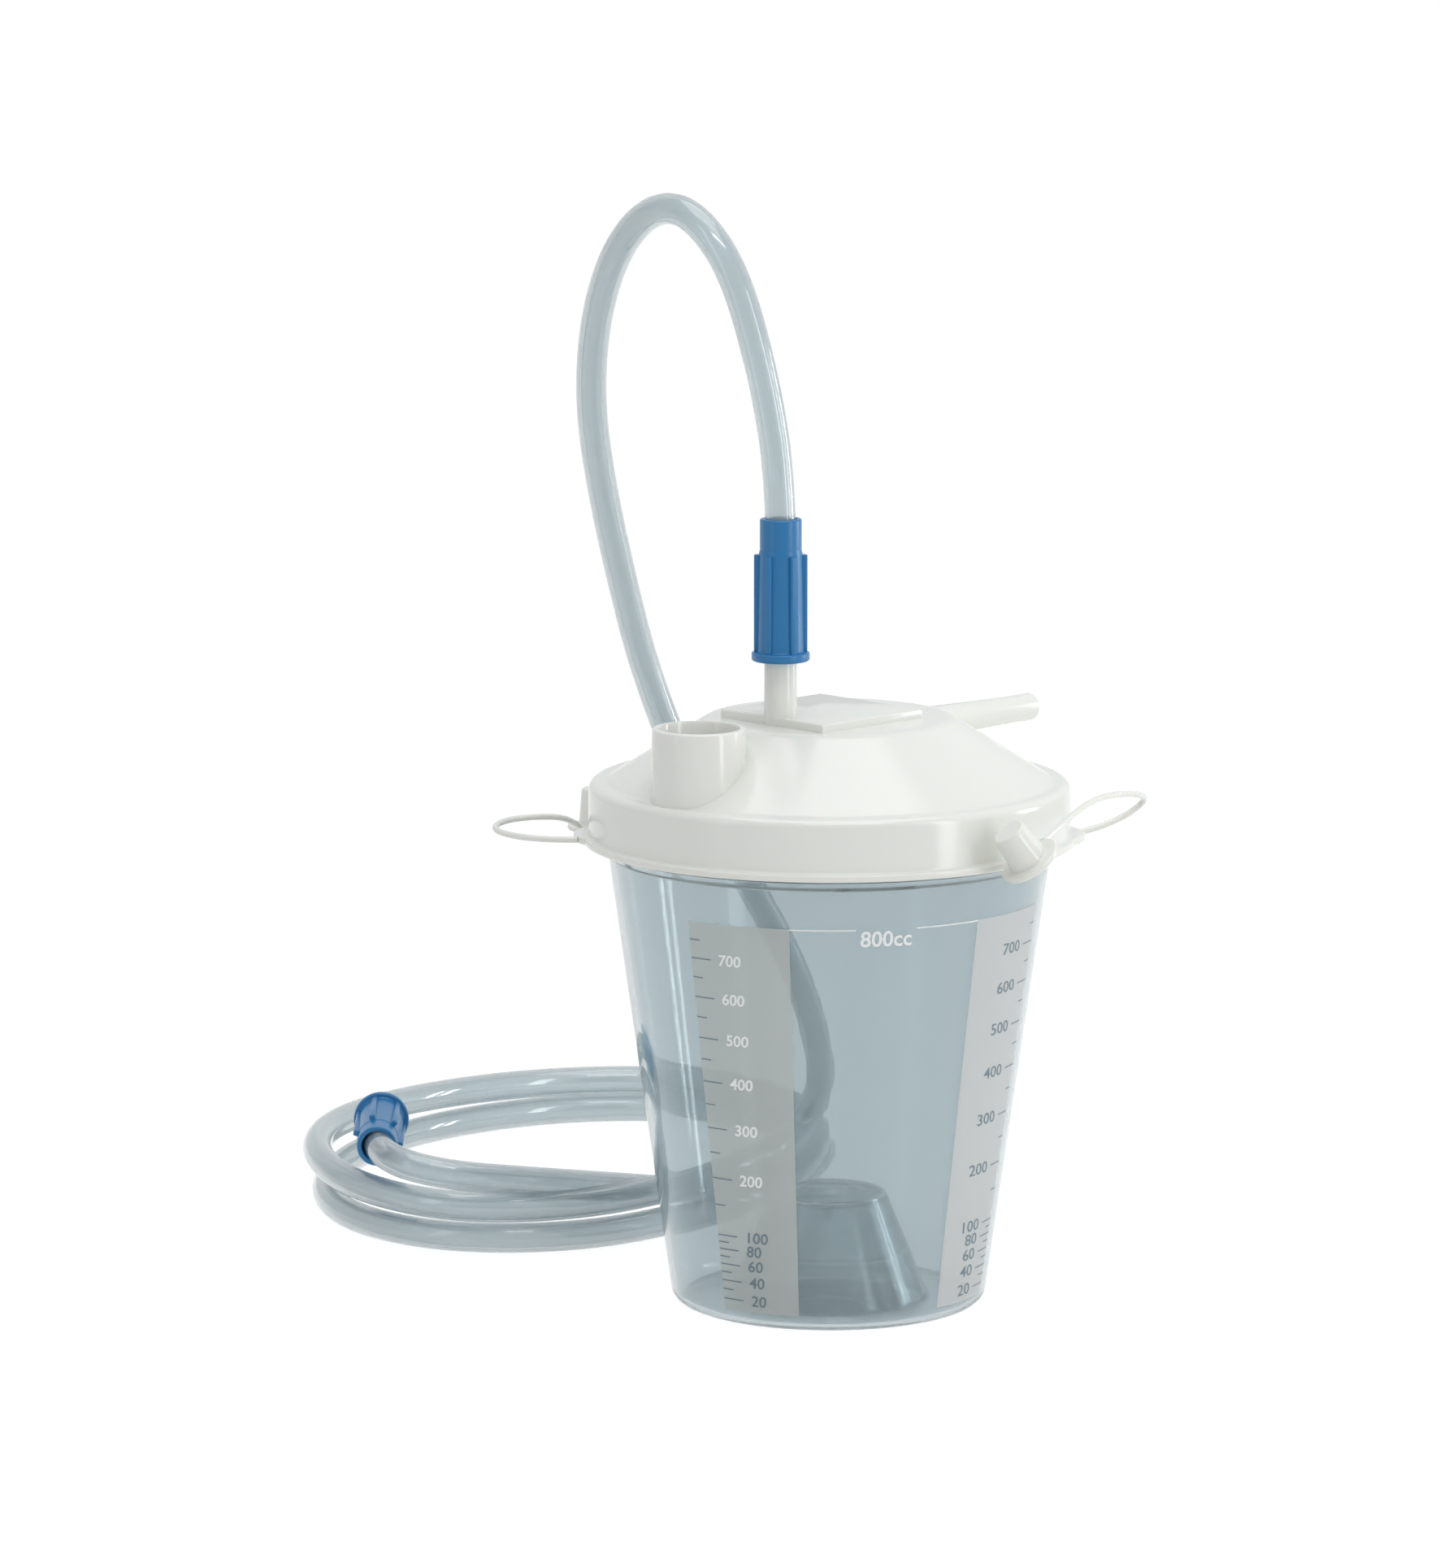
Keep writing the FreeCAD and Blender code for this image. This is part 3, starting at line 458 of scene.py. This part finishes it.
# %% Cup
CUP_BASE, CUP_FLARE, CUP_WALL = 42.25, 0.1416, 1.4
CUP_FLOOR, CUP_SHOULDER, CUP_TOP = 1.6, 123.1, 140.7
RIM_INSIDE, RIM_OUTSIDE = 61.1, 62.5
STUMP_FOOT, STUMP_EDGE, STUMP_TOP = 27.0, 15.4, 30.1


def cup_radius(height):
    return CUP_BASE + CUP_FLARE * height


cup = turned("cup", [
    (3.0, 29.5), (9.4, 29.5, 0.3), (10.2, STUMP_TOP, 0.3), (STUMP_EDGE, STUMP_TOP, 1.2),
    (STUMP_FOOT, CUP_FLOOR, 1.4), (cup_radius(CUP_FLOOR) - CUP_WALL, CUP_FLOOR, 2.8),
    (cup_radius(CUP_SHOULDER) - CUP_WALL, 124.5, 0.8), (RIM_INSIDE, 127.0, 0.8),
    (RIM_INSIDE, CUP_TOP, 0.4), (RIM_OUTSIDE, CUP_TOP, 0.4), (RIM_OUTSIDE, 125.6, 0.7),
    (cup_radius(CUP_SHOULDER), CUP_SHOULDER, 0.7), (CUP_BASE, 0.0, 4.2), (26.2, 0.0, 1.2),
    (14.0, 27.9, 1.2), (3.0, 27.9, 1.0), (1.3, 26.5), (1.1, 21.9),
], 160)
smooth(cup, 40)
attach(cup, "canister")
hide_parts("canister")
print("cup faces", len(cup.data.polygons))

# %% [markdown]
# ## The printed scale
# Two frosted bands, the left one greyer, carry ticks and numbers. Each mark is drawn flat, in millimetres
# round the wall and up, and then bent onto the cone, a hair outside it. The tick heights come from the cup
# itself: the height at which it holds that volume.

# %% Print
PRINT_MIDDLE = math.radians(-119.7)
PROUD = 0.06
BAND_LOW, BAND_INNER, BAND_OUTER = 4.6, 26.5, 56.0
TICK_LONG, TICK_SHORT, TICK_WIDTH = 6.4, 3.4, 0.32
LAST_SMALL_VOLUME = 100


def held_below(height, slices=200):
    """Volume in cubic centimetres inside the cup below a height, less the pushed-up stump."""
    volume = 0.0
    step = (height - CUP_FLOOR) / slices
    for index in range(slices):
        middle = CUP_FLOOR + (index + 0.5) * step
        inner = cup_radius(middle) - CUP_WALL
        up_stump = (middle - CUP_FLOOR) / (STUMP_TOP - CUP_FLOOR)
        stump = STUMP_FOOT - up_stump * (STUMP_FOOT - STUMP_EDGE) if up_stump < 1 else 0.0
        volume += math.pi * (inner ** 2 - stump ** 2) * step / 1000
    return volume


def height_for(volume):
    low, high = CUP_FLOOR, 122.0
    for _ in range(30):
        middle = (low + high) / 2
        low, high = (middle, high) if held_below(middle) < volume else (low, middle)
    return low


def round_wall(degrees, height):
    """Millimetres round the wall at this height, from the print's middle."""
    return math.radians(degrees) * cup_radius(height)


def bend_onto_cup(piece, proud=PROUD):
    """Takes x as millimetres round the wall, y as height, and lays the piece on the cone."""
    for vertex in piece.data.vertices:
        across, height, lift = vertex.co / MM
        radius = cup_radius(height)
        angle = PRINT_MIDDLE + across / radius
        out = (radius + proud + lift) * MM
        vertex.co = (out * math.cos(angle), out * math.sin(angle), height * MM)


def flat_patch(name, left, right, low, high, columns):
    """A flat strip in millimetres, with enough columns to bend smoothly."""
    deselect_all()
    bpy.ops.mesh.primitive_grid_add(x_subdivisions=columns, y_subdivisions=2, size=1)
    patch = bpy.context.object
    patch.name = name
    patch.scale = ((right - left) * MM, (high - low) * MM, 1)
    patch.location = ((right + left) / 2 * MM, (high + low) / 2 * MM, 0)
    bpy.ops.object.transform_apply(location=True, rotation=True, scale=True)
    return patch


LINE_800 = height_for(800)
print("800 line at", round(LINE_800, 1), "mm; 100 line at", round(height_for(100), 1), "mm")


def band(name, from_degrees, to_degrees):
    """A frosted band between two angles from the print's middle, which narrows with the cone."""
    patch = flat_patch(name, 0, 1, BAND_LOW, LINE_800, columns=24)
    for vertex in patch.data.vertices:
        degrees = from_degrees + (to_degrees - from_degrees) * vertex.co.x / MM
        vertex.co.x = round_wall(degrees, vertex.co.y / MM) * MM
    bend_onto_cup(patch)
    return patch


def number(text, across, height, size, align, width, bold):
    """Figures whose middle is at this height; width stretches them and bold thickens them."""
    deselect_all()
    bpy.ops.object.text_add()
    mark = bpy.context.object
    mark.data.body = text
    mark.data.size = size * MM
    mark.data.offset = bold * MM
    mark.data.align_x = align
    mark.data.align_y = "CENTER"
    mark.data.resolution_u = 3
    bpy.ops.object.convert(target="MESH")
    mark = bpy.context.object
    mark.scale = (width, 1.0, 1.0)
    mark.location = (across * MM, height * MM, 0)
    bpy.ops.object.transform_apply(location=True, rotation=True, scale=True)
    return mark


left_band = band("band_to_the_left", -BAND_OUTER, -BAND_INNER)
right_band = band("band_to_the_right", BAND_INNER, BAND_OUTER)
white_marks, grey_marks = [], []
for side in (-1, 1):
    for volume in [*range(20, 101, 10), *range(150, 751, 50)]:
        small = volume <= LAST_SMALL_VOLUME
        half_mark = volume % (20 if small else 100)
        height = height_for(volume)
        edge = round_wall(side * BAND_OUTER, height)
        start, end = sorted((edge, edge - side * (TICK_SHORT if half_mark else TICK_LONG)))
        low, high = height - TICK_WIDTH / 2, height + TICK_WIDTH / 2
        grey_marks.append(flat_patch("tick", start, end, low, high, columns=6))
        if half_mark:
            continue
        if side > 0:
            grey_marks.append(number(str(volume), edge - 8.4, height, 4.5, "RIGHT", width=1.35, bold=0.02))
        elif small:
            grey_marks.append(number(str(volume), edge + 8.8, height, 4.3, "LEFT", width=1.05, bold=0.05))
        else:
            white_marks.append(number(str(volume), edge + 8.8, height, 4.3, "LEFT", width=1.05, bold=0.10))
for start, end in ((-BAND_INNER, -9.0), (7.3, BAND_INNER)):
    left, right = round_wall(start, LINE_800), round_wall(end, LINE_800)
    white_marks.append(flat_patch("line", left, right, LINE_800 - 0.35, LINE_800, columns=16))
middle = round_wall(-0.9, LINE_800)
white_marks.append(number("800cc", middle, LINE_800 - 2.9, 6.0, "CENTER", width=1.0, bold=0.10))
white_scale, grey_scale = join(white_marks), join(grey_marks)
white_scale.name, grey_scale.name = "white_scale", "grey_scale"
for piece in (white_scale, grey_scale):
    bend_onto_cup(piece, PROUD * 2)
for piece in (white_scale, grey_scale, left_band, right_band):
    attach(piece, "canister")
print("scale faces", len(white_scale.data.polygons) + len(grey_scale.data.polygons))

# %% [markdown]
# ## The lid
# The lid is one glossy white moulding. A turned block has the outside of the dome; ears, a square plate, the
# pour spout and the patient port are joined on, and the hollow is cut away. Then the valve socket, the nozzle
# and the vacuum port are joined on inside and out, and the bores are cut last, as a mould's core does.

# %% Lid
FLANGE, FLANGE_TOP, RING_TOP, DOME_TOP, PLATE_TOP = 126.5, 128.5, 142.8, 160.2, 162.5
SPOUT_X, PATIENT_X, VALVE_X = -49.7, -18.8, 18.0
EAR_REACH = 53 * math.sqrt(0.5)
VACUUM_HEIGHT, VACUUM_LENGTH = 154.0, 61.5
CONNECTOR_SEAT = 177.4
LEVEL = Matrix.Rotation(math.radians(90), 3, "Y").to_quaternion()
dome_radius = 60.3 - (DOME_TOP - RING_TOP) / 0.638

lid = turned("lid_shell", [
    (3.0, FLANGE), (66.6, FLANGE, 0.6), (66.6, FLANGE_TOP, 0.6), (65.0, FLANGE_TOP, 0.8),
    (65.0, RING_TOP, 2.4), (60.3, RING_TOP, 3.0), (dome_radius, DOME_TOP, 6.0), (3.0, DOME_TOP),
], 160)


def add_or_cut(operation, name, place, turn, segments, profile, closed=False):
    """Joins a turned form to the lid or cuts it away."""
    form = turned(name, profile, segments, closed)
    put(form, place, turn)
    combine(lid, form, operation)


for side in (1, -1):
    add_or_cut("UNION", "ear", (side * EAR_REACH, -side * EAR_REACH, 0), None, 96, [
        (3.0, FLANGE), (16.0, FLANGE, 0.5), (16.0, FLANGE_TOP, 0.5), (3.0, FLANGE_TOP)])
combine(lid, block("plate", (38.6, 38.6, 4.3), (-3.1, 0, PLATE_TOP - 2.15), 0.5), "UNION")
add_or_cut("UNION", "spout", (SPOUT_X, 0, 0), None, 96, [
    (3.0, 129.0), (12.9, 129.0), (12.4, 162.7, 0.7), (3.0, 162.7)])
add_or_cut("UNION", "patient_port", (PATIENT_X, 0, 0), None, 64, [
    (2.0, 160.0), (4.45, 160.0), (4.35, CONNECTOR_SEAT, 0.1), (4.2, CONNECTOR_SEAT), (4.2, 193.0, 0.6),
    (2.0, 193.0)])
add_or_cut("DIFFERENCE", "hollow", (0, 0, 0), None, 160, [
    (3.0, 120.0), (62.8, 120.0), (62.8, 140.8), (60.8, 140.8, 0.3), (60.8, 134.8), (60.0, 133.8),
    (59.0, 133.8), (59.0, 141.26, 0.4), (32.5, 158.2, 4.0), (3.0, 158.2)])
add_or_cut("UNION", "valve_socket", (VALVE_X, 0, 0), None, 64, [
    (8.7, 144.0, 0.3), (10.2, 144.0, 0.3), (10.2, 159.2), (8.7, 159.2)], closed=True)
add_or_cut("UNION", "nozzle", (VALVE_X, 0, 0), None, 48, [
    (1.0, 144.5), (4.2, 144.5, 0.3), (4.2, 159.2), (1.0, 159.2)])
add_or_cut("UNION", "vacuum_port", (VALVE_X, 0, VACUUM_HEIGHT), LEVEL, 64, [
    (1.0, 0.0), (4.9, 0.0), (3.75, 49.5), (3.75, VACUUM_LENGTH, 0.8), (1.0, VACUUM_LENGTH)])
add_or_cut("DIFFERENCE", "spout_bore", (SPOUT_X, 0, 0), None, 96, [
    (3.0, 141.0), (10.7, 141.0), (10.7, 162.0), (11.3, 163.2), (3.0, 163.2)])
add_or_cut("DIFFERENCE", "patient_bore", (PATIENT_X, 0, 0), None, 48, [
    (1.0, 156.0), (2.9, 156.0), (2.9, 195.0), (1.0, 195.0)])
add_or_cut("DIFFERENCE", "vacuum_bore", (VALVE_X, 0, VACUUM_HEIGHT), LEVEL, 48, [
    (0.8, 0.0), (2.3, 0.0), (2.3, 61.2), (2.9, 62.0), (0.8, 62.0)])
add_or_cut("DIFFERENCE", "nozzle_bore", (VALVE_X, 0, 0), None, 48, [
    (0.8, 142.0), (2.3, 142.0), (2.3, VACUUM_HEIGHT), (0.8, VACUUM_HEIGHT)])
smooth(lid, 32)
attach(lid, "lid")
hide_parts("lid", "pour_spout", "patient_port", "vacuum_port")
print("lid faces", len(lid.data.polygons))

# %% [markdown]
# ## Tethered caps
# Two small hat-shaped caps hang from the lid's ears by thin tethers, ready to close the ports. Each cap is
# turned, and its tether is a smooth curve swept to a round strand and joined to it.

# %% Caps
CAP = [
    (1.0, 10.3), (3.6, 10.3, 0.4), (4.4, 0.0, 0.2), (8.4, 0.0, 0.5), (8.4, 1.3, 0.5), (5.3, 1.3, 0.5),
    (4.5, 11.5, 0.8), (1.0, 11.5),
]
TETHER_RADIUS = 0.85


def tethered_cap(name, brim, crown, tether_points):
    cap = turned(name, CAP, 64)
    put(cap, brim, UP.rotation_difference(Vector(crown)))
    strand = route_curve(name + "_strand", tether_points, TETHER_RADIUS, roundness=5, smoothness=12)
    only(strand)
    bpy.ops.object.convert(target="MESH")
    cap = join([cap, bpy.context.object])
    smooth(cap, 40)
    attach(cap, "lid")
    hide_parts(name)
    cap.name = name + "_moulding"
    return cap


right_cap = tethered_cap("tethered_cap_right", (-1.5, -75.5, 129.8), (-0.588, 0.173, 0.790), [
    (52.1, -43.9, 127.5), (61.0, -47.5, 129.0), (68.5, -54.5, 136.0), (56.0, -59.5, 139.8),
    (40.0, -62.5, 141.0), (23.0, -69.0, 140.0), (4.1, -74.5, 134.6),
])
left_cap = tethered_cap("tethered_cap_left", (-17.6, 71.4, 122.8), (0.0, 0.0, 1.0), [
    (-52.1, 43.9, 127.5), (-60.5, 51.5, 127.5), (-62.5, 67.0, 128.3), (-54.5, 70.0, 130.2),
    (-40.5, 64.0, 130.2), (-30.0, 67.0, 126.5), (-24.4, 70.6, 123.5),
])
print("caps made")

# %% [markdown]
# ## Connectors
# Each end of the hose is glued into a soft blue connector: a plain sleeve on the hose side, and a barrel with
# six grip ribs and a brim on the side that is pushed over a port. One is modelled, and the second is its copy.

# %% Connectors
CONNECTOR_LENGTH, HOSE_STOP = 38.2, 26.4
NEAR_TURN = 15
RIBS = 6
connector = turned("connector", [
    (4.3, 0.0, 0.2), (7.8, 0.0, 0.6), (7.8, 2.4, 0.6), (6.3, 2.4, 0.6), (5.9, 28.6, 0.4), (5.6, 29.8, 0.4),
    (5.6, CONNECTOR_LENGTH, 0.5), (4.3, CONNECTOR_LENGTH, 0.2), (4.3, HOSE_STOP), (2.8, HOSE_STOP),
    (2.8, 16.0), (4.3, 16.0),
], 64, closed=True)


def about_upright(degrees):
    return Matrix.Rotation(math.radians(degrees), 3, "Z").to_quaternion()


ribs = []
for index in range(RIBS):
    rib = block("rib", (2.4, 1.7, 27.0), (5.95, 0, 15.1), 0.45)
    put(rib, turn=about_upright(360 / RIBS * index))
    ribs.append(rib)
connector = join([connector, *ribs])
smooth(connector, 35)
far = connector.copy()
far.data = connector.data.copy()
bpy.context.scene.collection.objects.link(far)
put(connector, (PATIENT_X, 0, CONNECTOR_SEAT), about_upright(NEAR_TURN))
way_back = (Vector(TAIL[-2]) - Vector(TAIL[-1])).normalized()
put(far, Vector(TAIL[-1]) - way_back * HOSE_STOP, UP.rotation_difference(way_back))
connector.name, far.name = "blue_connector_near", "blue_connector_far"
for piece, node in ((connector, "near_connector"), (far, "far_connector")):
    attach(piece, "lid")
    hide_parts(node)
print("connectors faces", len(connector.data.polygons))

# %% [markdown]
# ## Clear and white plastics
# The cup is polystyrene: hard, clear and glossy, with a slight blue-grey haze, so each wall that light crosses
# takes some of it. Thick edges of clear plastic look bright, because light bends towards them. Here the
# pushed-up bottom and its rings have a share that glints like a mirror in place of that. The hose is softened
# PVC, greyer and less sharp, with fine streaks along the coil. In the bottom and the hose a further share lets
# light cross without bending, so that what lies behind shows in its place. For shadow rays every clear plastic
# is a plain coloured filter, because light that really bends through thin plastic would take very long to
# settle.

# %% Materials
COIL_MEAN = 80.0
STREAKS_UP_TO, NO_STREAKS_ABOVE = 0.035, 0.06


def streaky(material, place, amount, milk):
    """Fine streaks of haze that follow the coil's oval turns, as an extruded tube shows along its length."""
    centred = add_node(material, "ShaderNodeMapping", {
        "vector_type": "TEXTURE", "Location": COIL_CENTRE * MM, "Rotation": (0, 0, COIL_TURN),
        "Scale": (COIL_LONG / COIL_MEAN, COIL_SHORT / COIL_MEAN, 1), "Vector": place.outputs["Object"]})
    height = add_node(material, "ShaderNodeSeparateXYZ", {0: centred.outputs[0]}).outputs["Z"]
    flat = add_node(material, "ShaderNodeVectorMath", {
        "operation": "MULTIPLY", 1: (1, 1, 0), 0: centred.outputs[0]})
    out = add_node(material, "ShaderNodeVectorMath", {"operation": "LENGTH", 0: flat.outputs[0]})
    section = add_node(material, "ShaderNodeCombineXYZ", {0: out.outputs["Value"], 1: height})
    lines = add_node(material, "ShaderNodeTexNoise", {
        "Scale": 750.0, "Detail": 1.0, "Vector": section.outputs[0]})
    strength = remapped(material, height, 2.2 * milk, 0.0, STREAKS_UP_TO, NO_STREAKS_ABOVE)
    swing = calculated(material, "SUBTRACT", lines.outputs["Fac"], 0.5)
    return calculated(material, "MULTIPLY_ADD", swing, strength, amount)


def clear_plastic(name, tint, shadow_tint, roughness, waves, milk, milk_colour, thin=0.0, coat=0.0,
                  edge_milk=0.0, streaks=False, glint=0.0):
    """Clear plastic. Milk is the share that is hazy, or bright where it glints, and thin the share that
    light crosses without bending."""
    material = new_material(name)
    place = add_node(material, "ShaderNodeTexCoord")
    wave_scale, wave_strength = waves
    _, normal = uneven(material, place, wave_scale, 2.0, wave_strength, 0.0004)
    body = add_node(material, "ShaderNodeBsdfPrincipled", {
        "Base Color": paint(tint), "Roughness": roughness, "IOR": 1.45, "Transmission Weight": 1.0,
        "Coat Weight": coat, "Coat Roughness": 0.08, "Normal": normal})
    if thin:
        crossed = tuple(math.sqrt(channel) for channel in paint(tint))
        straight = add_node(material, "ShaderNodeBsdfTransparent", {"Color": crossed})
        body = blended(material, thin, body, straight)
    haze = add_node(material, "ShaderNodeBsdfPrincipled", {
        "Base Color": paint(milk_colour), "Roughness": 0.18, "IOR": 1.45, "Metallic": glint,
        "Normal": normal})
    grazing = add_node(material, "ShaderNodeLayerWeight", {"Blend": 0.25})
    amount = remapped(material, grazing.outputs["Facing"], milk, milk + edge_milk)
    if streaks:
        amount = streaky(material, place, amount, milk)
    body = blended(material, amount, body, haze)
    shadow_filter = add_node(material, "ShaderNodeBsdfTransparent", {"Color": paint(shadow_tint)})
    path = add_node(material, "ShaderNodeLightPath")
    return surfaced(material, blended(material, path.outputs["Is Shadow Ray"], body, shadow_filter))


def moulded(name, colour, roughness, grain_mm=1.2, strength=0.04, sheen_through=0.0):
    """Opaque moulded plastic with a very fine unevenness."""
    material = new_material(name)
    place = add_node(material, "ShaderNodeTexCoord")
    grain, normal = uneven(material, place, 1000 / grain_mm, 3.0, strength, 0.0003)
    shine = remapped(material, grain, roughness * 0.85, roughness * 1.15)
    body = add_node(material, "ShaderNodeBsdfPrincipled", {
        "Base Color": paint(colour), "IOR": 1.5, "Subsurface Weight": sheen_through,
        "Subsurface Scale": 0.002, "Normal": normal, "Roughness": shine})
    return surfaced(material, body)


def frosted(name, colour, through=0.15, cover=0.80):
    """Thin printed ink that lets a little light through and hides a share of what is behind it."""
    material = new_material(name)
    front = add_node(material, "ShaderNodeBsdfPrincipled", {"Base Color": paint(colour), "Roughness": 0.5})
    back = add_node(material, "ShaderNodeBsdfTranslucent", {"Color": paint(colour)})
    ink = blended(material, through, front, back)
    gap = add_node(material, "ShaderNodeBsdfTransparent")
    return surfaced(material, blended(material, cover, gap, ink))


def dress(piece, *materials):
    piece.data.materials.clear()
    for material in materials:
        piece.data.materials.append(material)


def on_thick_ring(height, reach):
    """The stump's top edge, the edge of its dish, and the stub in the middle where the plastic was fed."""
    near_top = height > 27.6
    return near_top and (reach > 14.2 or 8.6 < reach < 10.6) or reach < 1.25


CUP_WAVES, HOSE_WAVES = (60, 0.03), (90, 0.10)
wall_clear = clear_plastic(
    "clear polystyrene", tint="#D8E1E4", shadow_tint="#E3E9EC", roughness=0.02, waves=CUP_WAVES,
    milk=0.13, milk_colour="#B1C1C5")
bottom_clear = clear_plastic(
    "clear polystyrene of the bottom", tint="#DDE4E6", shadow_tint="#B8C2C6", roughness=0.02,
    waves=CUP_WAVES, milk=0.02, milk_colour="#F4F8F9", thin=0.40, edge_milk=0.28, glint=1.0)
rings_clear = clear_plastic(
    "clear polystyrene of thick rings", tint="#E6ECEE", shadow_tint="#EEF2F4", roughness=0.05,
    waves=CUP_WAVES, milk=0.60, milk_colour="#FAFCFC", thin=0.40, glint=1.0)
dress(cup, wall_clear, bottom_clear, rings_clear)
BOTTOM_BELOW, WALL_ZONE = 32, 3
for face in cup.data.polygons:
    middle = face.center / MM
    reach = math.hypot(middle.x, middle.y)
    if middle.z < BOTTOM_BELOW and reach < cup_radius(middle.z) - WALL_ZONE:
        face.material_index = 2 if on_thick_ring(middle.z, reach) else 1
dress(hose, clear_plastic(
    "softened pvc tube", tint="#E0E7E9", shadow_tint="#DDE4E5", roughness=0.08, waves=HOSE_WAVES,
    milk=0.20, milk_colour="#C4CED1", thin=0.15, coat=1.0, streaks=True))
dress(left_band, frosted("grey frosted ink", "#CED2CF"))
dress(right_band, frosted("white frosted ink", "#DFE0DF"))
dress(white_scale, moulded("white screen ink", "#F4F5F4", 0.45))
dress(grey_scale, moulded("grey screen ink", "#6F838E", 0.45))
white = moulded("white high impact polystyrene", "#E9EAE4", 0.15, 1.5, 0.05, 0.15)
for piece in (lid, right_cap, left_cap):
    dress(piece, white)
blue = moulded("blue soft pvc", "#1C73AB", 0.32, 0.8, 0.06, 0.1)
for piece in (connector, far):
    dress(piece, blue)
inner_white = moulded("natural polypropylene", "#DEDEDA", 0.35, 1.0, 0.05, 0.2)
seal_grey = moulded("silicone rubber", "#8C8E90", 0.5, 0.6, 0.1)
for node, material in (("float_cage", inner_white), ("float", inner_white), ("float_seal", seal_grey)):
    dress(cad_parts[node], material)
print("materials:", ", ".join(sorted(m.name for m in bpy.data.materials)))
